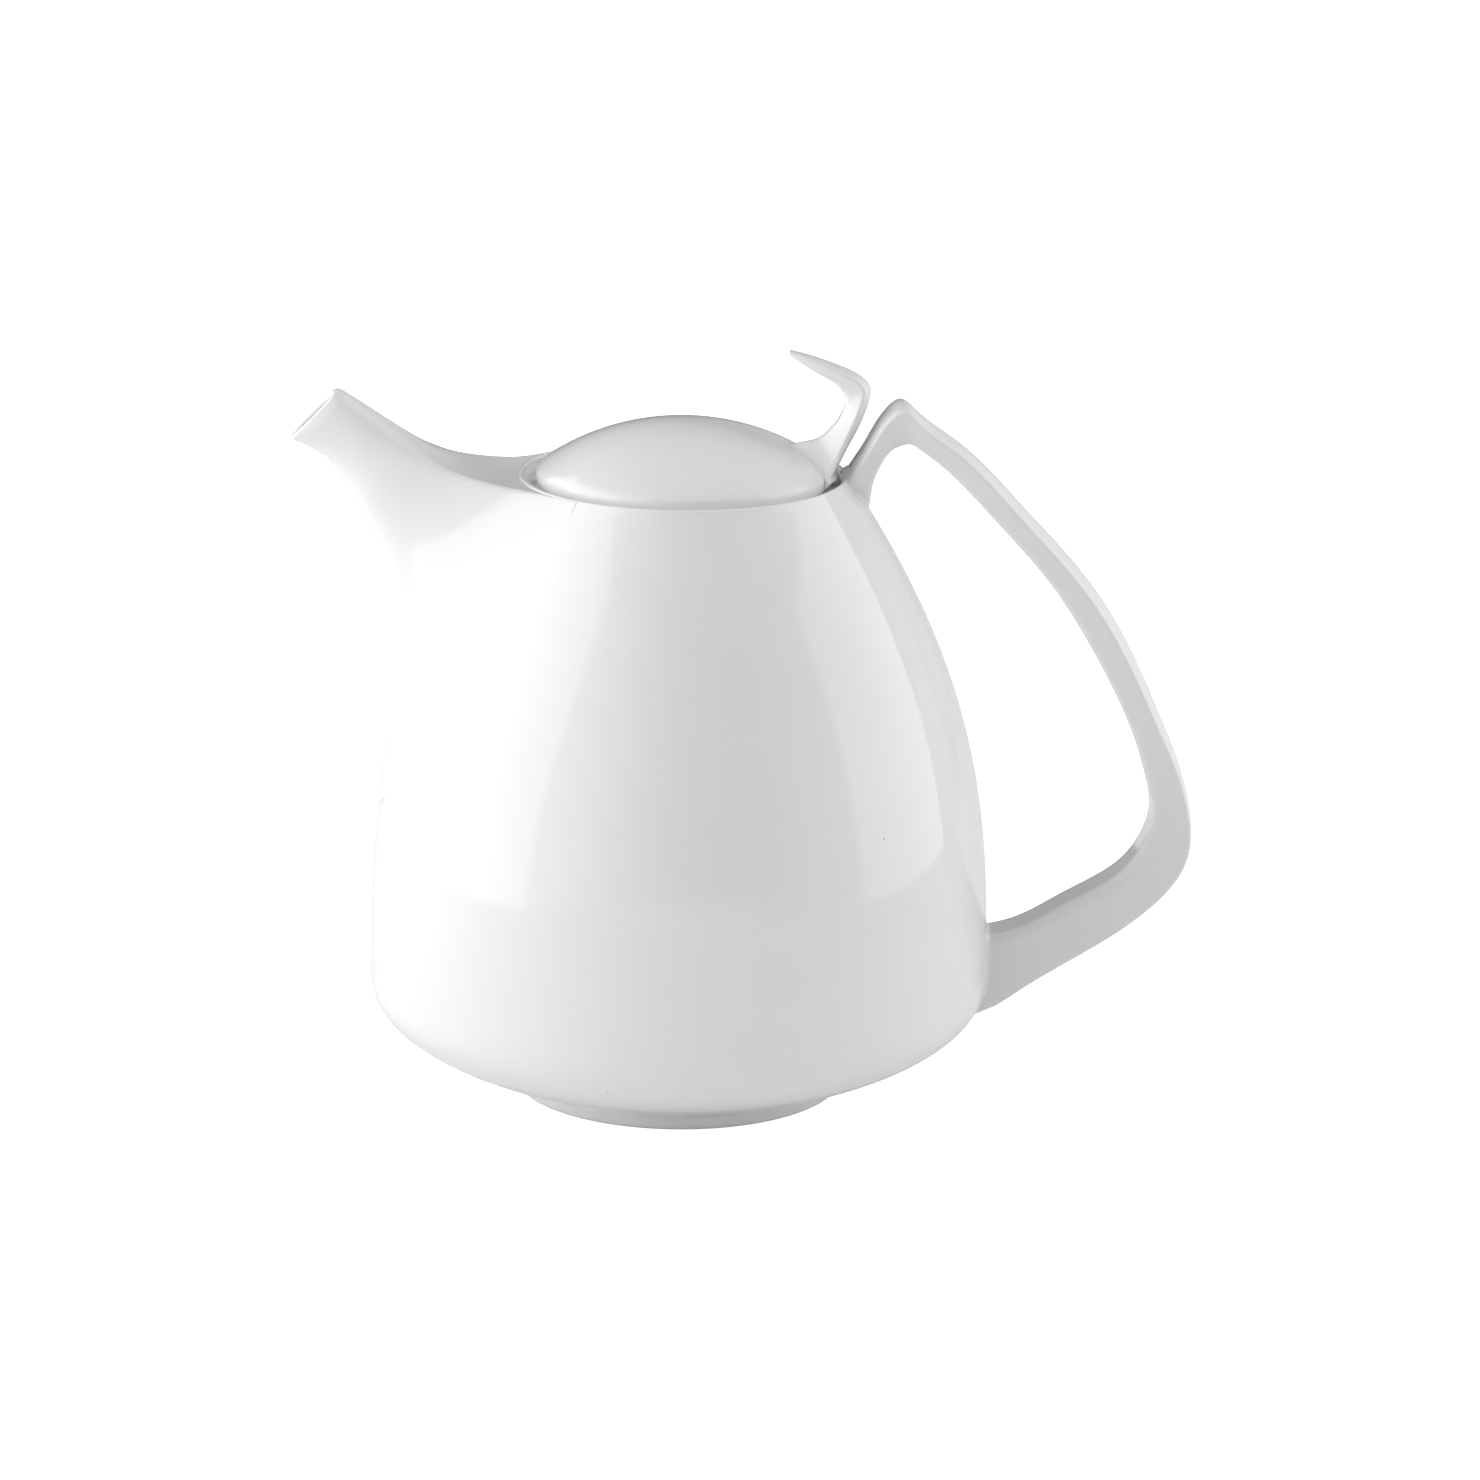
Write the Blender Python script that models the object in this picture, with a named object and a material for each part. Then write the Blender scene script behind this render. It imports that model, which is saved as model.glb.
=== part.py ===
"""White glazed porcelain teapot: bell-shaped body, beak spout, folded strap handle, domed lid with a bent grip.

The pot stands on z = 0. +X points to the handle, -X to the spout, and the spout and handle share the plane y = 0.
Outlines are in millimetres about the body's turning axis; MM turns them into metres.
"""

import math

import bmesh
import bpy
import numpy as np

MM = 0.001
GAP = 0.3                    # clearance between neighbouring solids

# Where the body's axis stands, so that the whole pot is centred on the origin.
AXIS_X = -15.5

# Body
FOOT_HEIGHT = 4.0
BASE_Z = FOOT_HEIGHT + GAP
BASE_RADIUS = 41.4
BELLY_RADIUS = 76.0
BELLY_Z = 32.0
RIM_Z = 154.0
RIM_RADIUS = 40.0
WALL = 3.0
FLOOR = 3.4
# Bezier handles of the two curves that make the outline: under the belly, and from the belly to the rim.
UNDERSIDE = ((BASE_RADIUS, BASE_Z), (79.4, 16.2), (BELLY_RADIUS, 25.2), (BELLY_RADIUS, BELLY_Z))
BELL = ((BELLY_RADIUS, BELLY_Z), (BELLY_RADIUS, 71.0), (72.7, 104.3), (RIM_RADIUS, RIM_Z - 0.6))

# Seat for the lid
MOUTH_RADIUS = 38.9          # inside edge of the rim
LEDGE_Z = 151.4
THROAT_RADIUS = 33.6
THROAT_BOTTOM_Z = 148.4

# Foot ring
FOOT_OUTER = 40.8
FOOT_INNER = 36.4

# Strainer in the wall behind the spout
STRAINER_Z = 112.0
STRAINER_PITCH = 9.0
STRAINER_HOLE_RADIUS = 2.8

# Spout sections, fanned out from the mouth to its foot. Each has the point x, z and half width where it starts,
# the point x, z on the keel where it ends, the half widths that shape its side, and the crown of the spout's top.
# The first eight start on the top edge, the last five on the crease where the spout meets the body.
SPOUT_SECTIONS = (
    (-84.4, 173.6, 4.3, -95.0, 162.4, 5.9, 3.7, 1.6),
    (-75.4, 167.2, 6.8, -87.2, 158.2, 8.5, 5.5, 2.1),
    (-68.2, 162.6, 8.7, -82.6, 153.4, 10.2, 7.0, 1.9),
    (-61.0, 158.7, 11.0, -79.0, 147.0, 12.0, 8.5, 1.5),
    (-53.8, 156.1, 13.3, -76.0, 140.4, 14.0, 9.0, 0.9),
    (-44.2, 154.2, 16.8, -73.7, 134.0, 17.6, 10.0, 0.2),
    (-37.0, 153.5, 20.0, -72.6, 128.0, 21.6, 10.5, 0.0),
    (-26.3, 153.0, 30.5, -72.0, 122.0, 27.0, 11.0, 0.0),
    (-37.5, 140.0, 30.3, -71.6, 116.0, 26.6, 12.0, 0.0),
    (-47.8, 125.0, 30.2, -71.5, 108.0, 26.6, 12.0, 0.0),
    (-56.7, 110.0, 28.4, -71.8, 99.0, 25.3, 12.0, 0.0),
    (-63.3, 97.0, 24.9, -72.3, 90.0, 22.3, 11.0, 0.0),
    (-68.5, 85.0, 19.0, -72.9, 81.0, 17.1, 9.0, 0.0),
    (-72.6, 74.0, 9.0, -73.7, 72.0, 8.0, 5.0, 0.0),
)
SPOUT_WALL = 2.6
LIP_WALL = 1.7
BORE_SHARE = 0.84            # share of the sections that the bore runs down
MOUTH_NORMAL = (-0.747, 0.0, 0.665)
LUTE_DEPTH = 4.0             # how far the sections run on into the body, where they are trimmed

# Handle: edge of the outer face x, z, inner side x, z, half widths outside and inside, crown of the outer face.
HANDLE = (
    (35.5, 147.0, 39.0, 138.0, 6.6, 5.0, 0.6),
    (38.9, 152.0, 44.6, 146.0, 6.8, 5.0, 0.8),
    (40.9, 155.3, 45.6, 151.6, 7.0, 5.0, 1.0),
    (44.6, 161.2, 48.6, 158.7, 7.0, 5.1, 1.0),
    (49.4, 168.9, 52.0, 161.6, 7.3, 5.3, 1.1),
    (52.8, 171.0, 54.5, 162.1, 7.5, 5.5, 1.2),
    (56.2, 168.4, 56.6, 161.0, 7.5, 5.5, 1.3),
    (65.5, 160.9, 62.2, 156.8, 7.5, 5.5, 1.4),
    (80.7, 145.7, 76.9, 141.8, 7.5, 5.5, 1.6),
    (94.8, 130.0, 90.2, 126.4, 7.6, 5.5, 1.8),
    (105.4, 114.8, 99.8, 111.4, 7.7, 5.6, 1.8),
    (116.9, 91.4, 110.8, 89.0, 7.8, 5.8, 1.5),
    (122.9, 77.0, 115.0, 75.4, 7.8, 6.0, 1.0),
    (125.2, 63.0, 115.2, 66.0, 7.8, 6.2, 0.8),
    (122.6, 54.4, 111.6, 58.6, 7.8, 6.3, 0.9),
    (113.0, 44.0, 104.6, 52.2, 7.8, 6.4, 1.0),
    (98.0, 33.8, 94.0, 46.2, 7.8, 6.5, 1.0),
    (84.0, 25.0, 83.2, 40.4, 7.8, 6.6, 1.0),
    (75.0, 19.4, 75.4, 38.4, 7.8, 6.7, 1.0),
    (66.0, 17.4, 67.0, 37.0, 7.8, 6.7, 1.0),
)

# Lid
LID_RADIUS = 35.6
LID_TOP_Z = 167.0
LID_SHOULDER_Z = 155.4
LID_WALL = 3.0
LID_SEAT_Z = LEDGE_Z + GAP
FLANGE_OUTER = 32.8
FLANGE_INNER = 30.2
FLANGE_BOTTOM_Z = 143.0
# Grip on the lid, in the same terms as the handle, from its root to its tip.
GRIP = (
    (33.6, 152.6, 25.0, 159.2, 12.0, 1.0, 0.3),
    (34.9, 155.2, 27.5, 161.3, 11.2, 1.2, 1.3),
    (36.3, 158.4, 31.8, 162.5, 9.2, 1.6, 2.1),
    (38.3, 162.6, 35.4, 165.2, 7.2, 2.0, 2.2),
    (41.0, 168.2, 37.9, 168.7, 5.8, 2.2, 2.3),
    (42.6, 172.2, 38.9, 171.8, 5.2, 2.3, 2.2),
    (43.2, 175.2, 38.3, 174.2, 5.0, 2.3, 1.8),
    (41.2, 177.9, 36.4, 176.3, 5.2, 2.4, 1.2),
    (37.2, 179.9, 34.4, 177.6, 4.8, 2.2, 0.8),
    (31.6, 182.2, 30.6, 179.7, 3.5, 1.8, 0.5),
    (25.3, 184.2, 25.5, 183.0, 1.5, 0.8, 0.3),
)

TURN_STEPS = 64              # facets round everything that is turned


def clear_scene():
    for item in list(bpy.data.objects):
        bpy.data.objects.remove(item, do_unlink=True)


def material(name, colour, roughness):
    made = bpy.data.materials.new(name)
    made.use_nodes = True
    shader = made.node_tree.nodes["Principled BSDF"]
    shader.inputs["Base Color"].default_value = (*colour, 1.0)
    shader.inputs["Roughness"].default_value = roughness
    shader.inputs["Metallic"].default_value = 0.0
    return made


# ---------------------------------------------------------------- curves


def bezier(points, steps):
    """Points along a cubic Bezier curve."""
    p0, p1, p2, p3 = (np.array(p, float) for p in points)
    t = np.linspace(0.0, 1.0, steps + 1)[:, None]
    u = 1.0 - t
    return u**3 * p0 + 3 * u * u * t * p1 + 3 * u * t * t * p2 + t**3 * p3


def smooth_through(rows, share):
    """The row of values at a share (0 to 1) of the way along a smooth curve through the rows."""
    rows = np.array(rows, float)
    place = min(max(share, 0.0), 1.0) * (len(rows) - 1)
    i = min(int(place), len(rows) - 2)
    t = place - i
    before = rows[i - 1] if i > 0 else 2 * rows[i] - rows[i + 1]
    after = rows[i + 2] if i + 2 < len(rows) else 2 * rows[i + 1] - rows[i]
    start_slope = (rows[i + 1] - before) / 2
    end_slope = (after - rows[i]) / 2
    return (
        (2 * t**3 - 3 * t**2 + 1) * rows[i]
        + (t**3 - 2 * t**2 + t) * start_slope
        + (3 * t**2 - 2 * t**3) * rows[i + 1]
        + (t**3 - t**2) * end_slope
    )


def outline(steps):
    """The outside of the body from the base to the rim, as (radius, z)."""
    return np.vstack((bezier(UNDERSIDE, steps // 2), bezier(BELL, steps)[1:]))


OUTLINE = outline(80)


def body_radius(z):
    return float(np.interp(z, OUTLINE[:, 1], OUTLINE[:, 0]))


def offset_outline(points, distance):
    """The outline moved outwards by a distance, or inwards where it is negative."""
    along = np.gradient(points, axis=0)
    along /= np.linalg.norm(along, axis=1)[:, None]
    outwards = np.column_stack((along[:, 1], -along[:, 0]))
    return points + distance * outwards


# ---------------------------------------------------------------- building meshes


def add_object(name, bm, finish, parent):
    bmesh.ops.recalc_face_normals(bm, faces=bm.faces)
    mesh = bpy.data.meshes.new(name)
    bm.to_mesh(mesh)
    bm.free()
    mesh.materials.append(finish)
    mesh.shade_smooth()
    mesh.set_sharp_from_angle(angle=math.radians(35))
    made = bpy.data.objects.new(name, mesh)
    bpy.context.collection.objects.link(made)
    made.parent = parent
    return made


def turned(profile, steps=TURN_STEPS, drop=0.0):
    """A solid turned about the axis from a closed or axis-to-axis profile of (radius, z).

    The facets straddle the plane y = 0, so no corner lies on the plane that the spout and handle share.
    """
    bm = bmesh.new()
    start = (math.cos(math.pi / steps), math.sin(math.pi / steps))
    points = [bm.verts.new((r * start[0] * MM, r * start[1] * MM, (z - drop) * MM)) for r, z in profile]
    closed = profile[0][0] > 0.0 or profile[-1][0] > 0.0
    pairs = list(zip(points, points[1:]))
    if closed:
        pairs.append((points[-1], points[0]))
    edges = [bm.edges.new(pair) for pair in pairs]
    bmesh.ops.spin(
        bm, geom=points + edges, cent=(0, 0, 0), axis=(0, 0, 1), angle=2 * math.pi, steps=steps, use_merge=True
    )
    bmesh.ops.remove_doubles(bm, verts=bm.verts, dist=1e-7)
    return bm


def lofted(loops):
    """A solid skinned over closed loops of points, with flat ends."""
    bm = bmesh.new()
    rings = [[bm.verts.new(np.array(point) * MM) for point in loop] for loop in loops]
    for ring, following in zip(rings, rings[1:]):
        for i in range(len(ring)):
            j = (i + 1) % len(ring)
            bm.faces.new((ring[i], ring[j], following[j], following[i]))
    bm.faces.new(rings[0])
    bm.faces.new(rings[-1])
    return bm


def cutter(name, bm, parent):
    made = add_object(name, bm, None, parent)
    made.hide_render = True
    made.display_type = "WIRE"
    return made


def cut(target, tool):
    modifier = target.modifiers.new(tool.name, "BOOLEAN")
    modifier.operation = "DIFFERENCE"
    modifier.solver = "EXACT"
    modifier.object = tool


# ---------------------------------------------------------------- strap-like parts


def strap_loop(row):
    """One cross-section of a strap: a crowned outer face, sides that draw in, and a rounded inner side."""
    outer = np.array((row[0], 0.0, row[1]))
    inner = np.array((row[2], 0.0, row[3]))
    wide, narrow, crown = row[4:7]
    depth = np.linalg.norm(inner - outer)
    inwards = (inner - outer) / depth
    half = [(0.0, -crown), (0.5, -0.75 * crown), (0.88, -0.22 * crown), (1.0, 0.10 * depth)]
    half = [(y * wide, d) for y, d in half]
    half += [(narrow + 0.45 * (wide - narrow), 0.5 * depth), (narrow, 0.78 * depth), (0.55 * narrow, 0.96 * depth)]
    half.append((0.0, depth))
    full = half + [(-y, d) for y, d in half[-2:0:-1]]
    return [outer + inwards * d + np.array((0.0, y, 0.0)) for y, d in full]


def strap(rows, steps):
    return lofted([strap_loop(smooth_through(rows, k / steps)) for k in range(steps + 1)])


# ---------------------------------------------------------------- spout


def spout_section(row, grow, lute):
    """One closed section of the spout. Grow moves it out, or in if negative; lute carries it on into the body."""
    top = np.array((row[0], 0.0, row[1]))
    keel = np.array((row[3], 0.0, row[4]))
    wide, shoulder, low = row[2] + grow, row[5] + grow, row[6] + 0.6 * grow
    crown = row[7]
    downwards = (keel - top) / np.linalg.norm(keel - top)
    start = top - downwards * grow
    depth = np.linalg.norm(keel - top) + 2 * grow
    side = bezier(((0.0, wide), (0.35, shoulder), (1.0, low), (1.0, 0.0)), 9)
    half = [(y, share * depth) for share, y in side]
    half.insert(0, (wide + lute * (wide - shoulder) / (0.35 * depth), -lute))
    full = half + [(-y, d) for y, d in half[-2::-1]]
    full += [(share * full[0][0], full[0][1] - (1 - share**2) * crown) for share in (-0.6, 0.0, 0.6)]
    return [start + downwards * d + np.array((0.0, y, 0.0)) for y, d in full]


def spout_sections(grow, last, steps):
    """Sections from the mouth to a share of the way down the spout."""
    loops = []
    for k in range(steps + 1):
        share = last * k / steps
        row = smooth_through(SPOUT_SECTIONS, share)
        mouth = max(0.0, 1.0 - 6.0 * share)
        wall = grow * (1.0 - mouth * (1.0 - LIP_WALL / SPOUT_WALL)) if grow < 0 else grow
        edge = 7.0 / (len(SPOUT_SECTIONS) - 1)
        lute = LUTE_DEPTH * min(1.0, max(0.05, (share - edge) / 0.04))
        loops.append(spout_section(row, wall, lute))
    return loops


def moved(loop, shift):
    return [point + np.array(shift) for point in loop]


def body_blank(grow, top_z):
    """The body as a solid without its hollow, used to trim the parts that meet it."""
    skin = offset_outline(OUTLINE[::4], grow)
    profile = [(0.0, BASE_Z - 2.0), (BASE_RADIUS, BASE_Z - 2.0)]
    profile += [tuple(p) for p in skin[1:-1]]
    profile += [(RIM_RADIUS + grow, RIM_Z - 0.6), (RIM_RADIUS + grow, top_z), (0.0, top_z)]
    return turned(profile)


# ---------------------------------------------------------------- parts


def body_profile():
    outside = outline(14)
    inside = offset_outline(outside, -WALL)[::-1]
    throat = THROAT_RADIUS
    lip = [
        (RIM_RADIUS - 0.15, RIM_Z - 0.15),
        (RIM_RADIUS - 0.5, RIM_Z),
        (MOUTH_RADIUS + 0.15, RIM_Z - 0.1),
        (MOUTH_RADIUS, RIM_Z - 0.6),
        (MOUTH_RADIUS, RIM_Z - 1.6),
        (MOUTH_RADIUS - 0.6, LEDGE_Z + 0.3),
        (MOUTH_RADIUS - 1.4, LEDGE_Z),
        (throat + 0.5, LEDGE_Z),
        (throat, LEDGE_Z - 0.6),
        (throat, THROAT_BOTTOM_Z),
    ]
    kept = [tuple(p) for p in inside if BASE_Z + FLOOR + 1.0 < p[1] < THROAT_BOTTOM_Z - 4.5]
    profile = [(0.0, BASE_Z)] + [tuple(p) for p in outside] + lip + kept
    profile += [(BASE_RADIUS - 4.0, BASE_Z + FLOOR), (0.0, BASE_Z + FLOOR)]
    return profile


def strainer_pins():
    """Pins that pierce the wall behind the spout: one in the middle and six round it."""
    places = [(0.0, 0.0)]
    places += [
        (STRAINER_PITCH * math.cos(math.radians(a)), STRAINER_PITCH * math.sin(math.radians(a)))
        for a in range(0, 360, 60)
    ]
    joined = bmesh.new()
    for y, up in places:
        loop = [
            (STRAINER_HOLE_RADIUS * math.cos(t) + y, STRAINER_HOLE_RADIUS * math.sin(t) + STRAINER_Z + up)
            for t in np.linspace(0.0, 2 * math.pi, 12, endpoint=False)
        ]
        near = [joined.verts.new((-50.0 * MM, a * MM, b * MM)) for a, b in loop]
        far = [joined.verts.new((-72.0 * MM, a * MM, b * MM)) for a, b in loop]
        for i in range(12):
            j = (i + 1) % 12
            joined.faces.new((near[i], near[j], far[j], far[i]))
        joined.faces.new(near)
        joined.faces.new(far)
    return joined


def make_body(glaze, axis):
    body = add_object("body_shell", turned(body_profile()), glaze, axis)
    cut(body, cutter("strainer_pins", strainer_pins(), axis))
    return body


def make_foot(finish, axis):
    profile = [
        (FOOT_INNER, 0.6),
        (FOOT_INNER + 0.6, 0.0),
        (FOOT_OUTER - 1.0, 0.0),
        (FOOT_OUTER, 0.9),
        (FOOT_OUTER + 0.4, FOOT_HEIGHT),
        (FOOT_INNER - 0.4, FOOT_HEIGHT),
    ]
    return add_object("foot_ring", turned(profile), finish, axis)


def make_spout(glaze, axis):
    spout = add_object("spout", lofted(spout_sections(0.0, 1.0, 39)), glaze, axis)
    bore = spout_sections(-SPOUT_WALL, BORE_SHARE, 26)
    bore.insert(0, moved(bore[0], np.array(MOUTH_NORMAL) * 8.0))
    cut(spout, cutter("spout_root_trim", body_blank(GAP, RIM_Z + 8.0), axis))
    cut(spout, cutter("spout_bore", lofted(bore), axis))
    return spout


def make_handle(glaze, axis):
    handle = add_object("handle", strap(HANDLE, 40), glaze, axis)
    cut(handle, cutter("handle_root_trim", body_blank(GAP, RIM_Z + 0.5), axis))
    return handle


def dome_outline(grow, steps):
    """The top of the lid from the middle outwards, as (radius, z)."""
    rise = LID_TOP_Z - LID_SHOULDER_Z
    sphere = (LID_RADIUS**2 + rise**2) / (2 * rise)
    centre = LID_TOP_Z - sphere
    last = math.asin((LID_RADIUS - 0.5) / sphere)
    return [
        ((sphere + grow) * math.sin(last * k / steps), centre + (sphere + grow) * math.cos(last * k / steps))
        for k in range(steps + 1)
    ]


def make_lid(glaze, seat):
    outside = dome_outline(0.0, 8)
    edge = [
        (LID_RADIUS, LID_SHOULDER_Z - 0.7),
        (LID_RADIUS, LID_SEAT_Z + 0.9),
        (LID_RADIUS - 0.2, LID_SEAT_Z + 0.3),
        (LID_RADIUS - 0.7, LID_SEAT_Z),
        (FLANGE_OUTER + 0.8, LID_SEAT_Z),
        (FLANGE_OUTER + 0.4, LID_SEAT_Z + 0.6),
        (FLANGE_INNER - 0.6, LID_SEAT_Z + 0.6),
    ]
    inside = [p for p in dome_outline(-LID_WALL, 7) if p[0] < FLANGE_INNER - 1.4][::-1]
    profile = outside + edge + inside
    return add_object("lid_dome", turned(profile, drop=RIM_Z), glaze, seat)


def make_flange(glaze, seat):
    top = LID_SEAT_Z + 0.6 - GAP
    profile = [
        (FLANGE_INNER, FLANGE_BOTTOM_Z + 0.8),
        (FLANGE_INNER + 0.7, FLANGE_BOTTOM_Z),
        (FLANGE_OUTER - 0.7, FLANGE_BOTTOM_Z),
        (FLANGE_OUTER - 0.2, FLANGE_BOTTOM_Z + 0.8),
        (FLANGE_OUTER, top),
        (FLANGE_INNER, top),
    ]
    return add_object("lid_flange", turned(profile, drop=RIM_Z), glaze, seat)


def make_grip(glaze, seat):
    loops = [strap_loop(smooth_through(GRIP, k / 26)) for k in range(27)]
    grip = add_object("lid_grip", lofted([moved(loop, (0.0, 0.0, -RIM_Z)) for loop in loops]), glaze, seat)
    blank = dome_outline(GAP, 12)
    blank += [(LID_RADIUS + GAP, LID_SHOULDER_Z - 1.0), (LID_RADIUS + GAP, LID_SEAT_Z - 6.0), (0.0, LID_SEAT_Z - 6.0)]
    cut(grip, cutter("grip_root_trim", turned(blank, drop=RIM_Z), seat))
    return grip


def main():
    clear_scene()
    axis = bpy.data.objects.new("pot_axis", None)
    axis.location = (AXIS_X * MM, 0.0, 0.0)
    bpy.context.collection.objects.link(axis)
    seat = bpy.data.objects.new("lid_seat", None)
    seat.location = (0.0, 0.0, RIM_Z * MM)
    seat.parent = axis
    bpy.context.collection.objects.link(seat)

    glaze = material("white_glaze", (0.86, 0.86, 0.85), 0.08)
    bisque = material("foot_porcelain", (0.80, 0.79, 0.77), 0.35)

    make_body(glaze, axis)
    make_foot(bisque, axis)
    make_spout(glaze, axis)
    make_handle(glaze, axis)
    make_lid(glaze, seat)
    make_flange(glaze, seat)
    make_grip(glaze, seat)
    bpy.context.view_layer.update()


main()
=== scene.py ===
"""The white porcelain teapot's look: fine surfaces with fired joints, glaze, light and camera.

Outlines are in millimetres about the body's turning axis, the same ones that the CAD solids follow.
place() turns them into metres in the shared frame.
"""

import math

import bmesh
import bpy
import numpy as np
from mathutils import Matrix, Vector


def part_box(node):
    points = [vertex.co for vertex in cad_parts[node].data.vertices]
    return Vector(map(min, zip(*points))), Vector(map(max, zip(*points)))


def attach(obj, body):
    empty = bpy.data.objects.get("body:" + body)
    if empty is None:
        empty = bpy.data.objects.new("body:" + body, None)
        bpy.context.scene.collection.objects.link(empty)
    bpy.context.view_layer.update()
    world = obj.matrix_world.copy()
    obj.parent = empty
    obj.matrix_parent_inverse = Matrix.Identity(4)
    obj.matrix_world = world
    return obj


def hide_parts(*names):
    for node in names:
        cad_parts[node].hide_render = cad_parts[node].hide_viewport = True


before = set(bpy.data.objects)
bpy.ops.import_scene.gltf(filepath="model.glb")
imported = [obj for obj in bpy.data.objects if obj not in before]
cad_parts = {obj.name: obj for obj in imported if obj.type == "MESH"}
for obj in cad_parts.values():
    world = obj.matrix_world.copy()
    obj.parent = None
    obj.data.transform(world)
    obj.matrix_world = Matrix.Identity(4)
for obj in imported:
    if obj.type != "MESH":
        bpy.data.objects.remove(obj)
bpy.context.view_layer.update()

MM = 0.001
foot_low, foot_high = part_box("foot_ring")
AXIS_X = (foot_low[0] + foot_high[0]) / 2 / MM

# Body
BASE_Z = 4.3
BASE_RADIUS = 41.4
BELLY_RADIUS = 76.0
BELLY_Z = 32.0
RIM_Z = 154.0
RIM_RADIUS = 40.0
UNDERSIDE = ((BASE_RADIUS, BASE_Z), (79.4, 16.2), (BELLY_RADIUS, 25.2), (BELLY_RADIUS, BELLY_Z))
WALL_TOP_Z = RIM_Z - 0.6  # the bell's outline ends here, where the rim's rounding starts
BELL = ((BELLY_RADIUS, BELLY_Z), (BELLY_RADIUS, 71.0), (72.7, 104.3), (RIM_RADIUS, WALL_TOP_Z))
WALL = 3.0
FLOOR_Z = 7.7
RIM = (
    (39.97, 153.5),
    (39.75, 153.85),
    (39.4, 154.0),
    (39.1, 153.85),
    (38.9, 153.3),
    (38.8, 152.4),
    (38.3, 151.7),
    (37.4, 151.42),
    (35.8, 151.4),
    (34.2, 151.38),
    (33.75, 151.15),
    (33.6, 150.6),
    (33.6, 149.2),
    (33.9, 148.1),
    (35.6, 147.0),
    (38.6, 145.9),
)

# Strainer behind the spout: one hole and six round it.
STRAINER_Z = 112.0
STRAINER_PITCH = 9.0
STRAINER_RADIUS = 2.8
STRAINER_SIDES = 20
STRAINER_REACH = (-50.0, -70.0)

# Spout sections: start x, z and half width; keel x, z; two half widths that shape the side; crown;
# bulge, towards the mouth, of the line that crosses the top.
# SPOUT_TOP starts on the top edge, SPOUT_SIDE on the crease.
SPOUT_TOP = (
    (-84.4, 173.6, 4.3, -95.0, 162.4, 5.9, 3.7, 1.6, 0.0),
    (-75.4, 167.2, 6.8, -87.2, 158.2, 8.5, 5.5, 2.1, 0.0),
    (-68.2, 162.6, 8.7, -82.6, 153.4, 10.2, 7.0, 1.9, 0.1),
    (-61.0, 158.7, 11.0, -79.0, 147.0, 12.0, 8.5, 1.5, 0.4),
    (-53.8, 156.1, 13.3, -76.0, 140.4, 14.0, 9.0, 0.9, 1.2),
    (-44.2, 154.3, 16.8, -73.7, 134.0, 17.6, 10.0, 0.3, 3.2),
    (-37.0, 153.8, 20.4, -72.6, 128.0, 21.6, 10.5, 0.0, 6.5),
    (-26.3, 153.6, 30.3, -72.0, 122.0, 27.0, 11.0, 0.0, 13.8),
)
SPOUT_SIDE = (
    (-26.3, 153.6, 30.3, -72.0, 122.0, 27.0, 11.0, 0.0, 13.8),
    (-37.5, 140.0, 30.3, -71.6, 116.0, 26.8, 12.0, 0.0, 13.8),
    (-47.8, 125.0, 30.2, -71.5, 108.0, 26.9, 12.0, 0.0, 13.8),
    (-56.7, 110.0, 28.4, -71.8, 99.0, 25.5, 12.0, 0.0, 13.8),
    (-63.3, 97.0, 24.9, -72.3, 90.0, 22.5, 11.0, 0.0, 10.0),
    (-68.5, 85.0, 19.0, -72.9, 81.0, 17.1, 9.0, 0.0, 6.0),
    (-72.6, 74.0, 9.0, -73.7, 72.0, 8.0, 5.0, 0.0, 2.0),
)
LIP_WALL = 1.8
SPOUT_WALL = 2.6
CREASE_SOFTNESS = 0.45
MOUTH_NORMAL = (-0.726, 0.0, 0.687)
SHOULDER_SHARE = 0.35  # how far down a section's side its second half width acts
ACROSS_POINTS = 13  # points of the line that crosses the top of a section
BORE_EDGE_ROUNDING = 0.6
BORE_TOP_SHARE = 0.62  # the share of the bore that runs under SPOUT_TOP
BORE_SIDE_DEPTH = 0.66  # how far along SPOUT_SIDE the bore goes

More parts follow.
